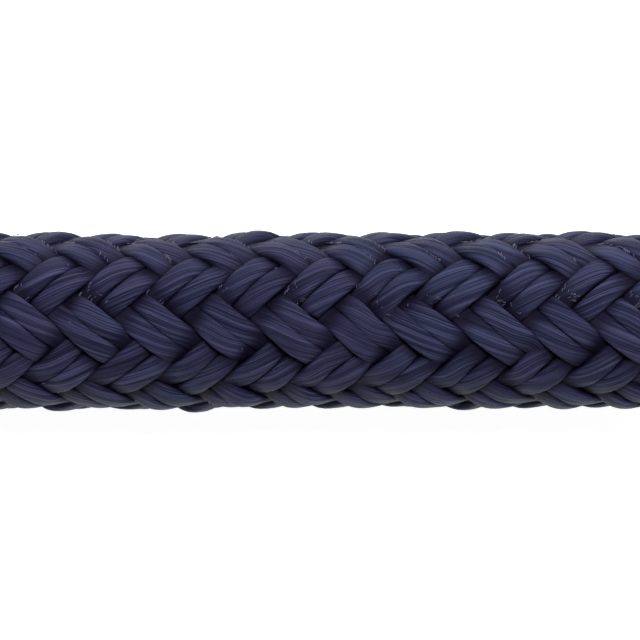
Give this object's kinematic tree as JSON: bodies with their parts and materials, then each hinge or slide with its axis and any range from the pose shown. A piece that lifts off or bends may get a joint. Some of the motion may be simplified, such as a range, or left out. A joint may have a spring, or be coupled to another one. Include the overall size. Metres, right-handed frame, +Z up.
{
  "type": "dock line",
  "caption": "Navy double-braid nylon mooring line, stowed as a tied hank with a spliced eye and a whipped, heat-sealed tail.",
  "frame": {"origin": "below the middle of the whole part, on the surface that it lies on", "axes": "+X from the hank along the tail to its sealed end, +Y from the tail's side of the hank to the other, +Z up"},
  "size_m": [0.277, 0.1092, 0.0758],
  "materials": {
    "cover_nylon": "braided navy nylon with a satin sheen",
    "core_nylon": "braided undyed nylon",
    "melted_nylon": "melted and set",
    "waxed_twine": "waxed twine"
  },
  "bodies": {
    "root": {"hank_turns": "cover_nylon", "top_turn": "cover_nylon", "splice_throat": "cover_nylon", "eye_loop": "cover_nylon", "throat_whipping": "waxed_twine", "tail_cover": "cover_nylon", "tail_core": "core_nylon", "end_whipping": "waxed_twine", "sealed_end": "melted_nylon", "tie_front": "waxed_twine", "tie_back": "waxed_twine"}
  },
  "joints": []
}
